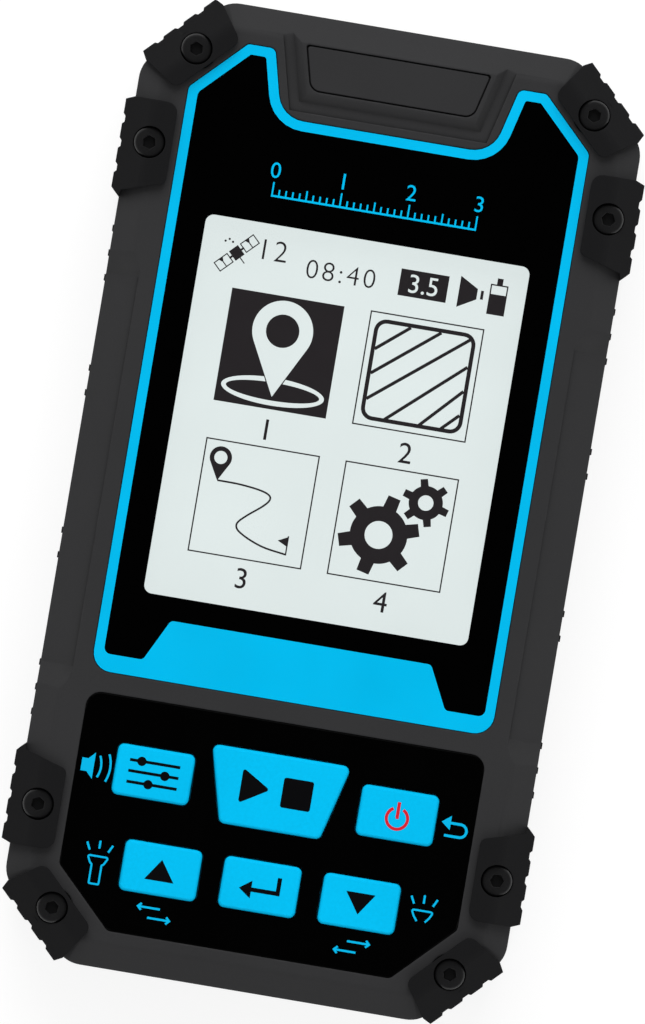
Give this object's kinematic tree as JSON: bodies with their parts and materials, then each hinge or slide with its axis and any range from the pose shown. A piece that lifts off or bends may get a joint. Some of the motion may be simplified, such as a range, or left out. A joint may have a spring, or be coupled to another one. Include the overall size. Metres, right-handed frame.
{
  "type": "land area meter",
  "caption": "Handheld satellite land area meter: cut-corner rugged housing with display lens, keypad, antenna hump and screwed rubber bumpers.",
  "frame": {"origin": "centre of the outline on the plane of the rear bumper pads, with the meter lying on its back", "axes": "+Z out of the display, +Y towards the antenna end, +X to the right of a reader"},
  "size_m": [0.0766, 0.142, 0.0276],
  "materials": {
    "housing": "fine moulded grain, satin",
    "plate": "smooth satin",
    "rubber": "matte",
    "lens": "gloss, printed border",
    "overlay": "semi gloss",
    "keycap": "satin",
    "tape": "matte",
    "screen": "semi gloss",
    "white": "matte",
    "silicone": "matte",
    "copper": "satin",
    "beige": "matte",
    "board": "solder mask, satin",
    "chip": "matte",
    "steel": "satin",
    "screw": "black oxide",
    "brass": "satin",
    "ceramic": "matte",
    "mirror": "bright",
    "window": "clear",
    "diffuser": "frosted",
    "led": "matte",
    "cell": "satin sleeve",
    "foam": "matte foam"
  },
  "bodies": {
    "housing": {"front_housing": "housing", "rear_housing": "housing", "housing_gasket": "rubber", "antenna_plate": "plate", "display_lens": "lens", "lens_tape": "tape", "screen_foam": "foam", "screen_glass": "screen", "screen_light_panel": "white", "screen_frame": "white", "screen_flex": "copper", "flex_connector": "beige", "keypad_plate": "overlay", "settings_dome": "silicone", "start_stop_dome": "silicone", "power_dome": "silicone", "up_dome": "silicone", "enter_dome": "silicone", "down_dome": "silicone", "keypad_board": "board", "keypad_board_screws": "steel", "keypad_connector": "chip", "main_board": "board", "main_board_screws": "steel", "patch_antenna": "ceramic", "receiver_shield": "steel", "processor": "chip", "speaker": "chip", "light_board": "white", "torch_led": "led", "torch_reflector": "mirror", "torch_lens": "window", "lamp_leds": "led", "lamp_diffuser": "diffuser", "usb_socket": "steel", "battery": "cell", "battery_foam": "foam", "battery_contacts": "brass", "battery_cover": "housing", "cover_gasket": "rubber", "cover_screws": "screw", "upper_left_corner_bumper": "rubber", "upper_right_corner_bumper": "rubber", "lower_left_corner_bumper": "rubber", "lower_right_corner_bumper": "rubber", "upper_left_side_bumper": "rubber", "upper_right_side_bumper": "rubber", "lower_left_side_bumper": "rubber", "lower_right_side_bumper": "rubber", "bumper_screws": "screw", "threaded_inserts": "brass"},
    "settings_key": {"settings_key": "keycap"},
    "start_stop_key": {"start_stop_key": "keycap"},
    "power_key": {"power_key": "keycap"},
    "up_key": {"up_key": "keycap"},
    "enter_key": {"enter_key": "keycap"},
    "down_key": {"down_key": "keycap"},
    "port_cover": {"port_cover": "rubber"}
  },
  "joints": [
    {"name": "settings_press", "type": "slide", "parent": "housing", "child": "settings_key", "axis": [0, 0, -1], "range_m": [0, 0.0006], "stiffness_N_per_m": 1500, "springref_m": -0.0004, "deforming": ["settings_dome"]},
    {"name": "start_stop_press", "type": "slide", "parent": "housing", "child": "start_stop_key", "axis": [0, 0, -1], "range_m": [0, 0.0006], "stiffness_N_per_m": 1500, "springref_m": -0.0004, "deforming": ["start_stop_dome"]},
    {"name": "power_press", "type": "slide", "parent": "housing", "child": "power_key", "axis": [0, 0, -1], "range_m": [0, 0.0006], "stiffness_N_per_m": 1500, "springref_m": -0.0004, "deforming": ["power_dome"]},
    {"name": "up_press", "type": "slide", "parent": "housing", "child": "up_key", "axis": [0, 0, -1], "range_m": [0, 0.0006], "stiffness_N_per_m": 1500, "springref_m": -0.0004, "deforming": ["up_dome"]},
    {"name": "enter_press", "type": "slide", "parent": "housing", "child": "enter_key", "axis": [0, 0, -1], "range_m": [0, 0.0006], "stiffness_N_per_m": 1500, "springref_m": -0.0004, "deforming": ["enter_dome"]},
    {"name": "down_press", "type": "slide", "parent": "housing", "child": "down_key", "axis": [0, 0, -1], "range_m": [0, 0.0006], "stiffness_N_per_m": 1500, "springref_m": -0.0004, "deforming": ["down_dome"]},
    {"name": "port_cover_hinge", "type": "hinge", "parent": "housing", "child": "port_cover", "pos_m": [0, -0.07025, 0.00905], "axis": [1, 0, 0], "range_deg": [0, 95]}
  ]
}
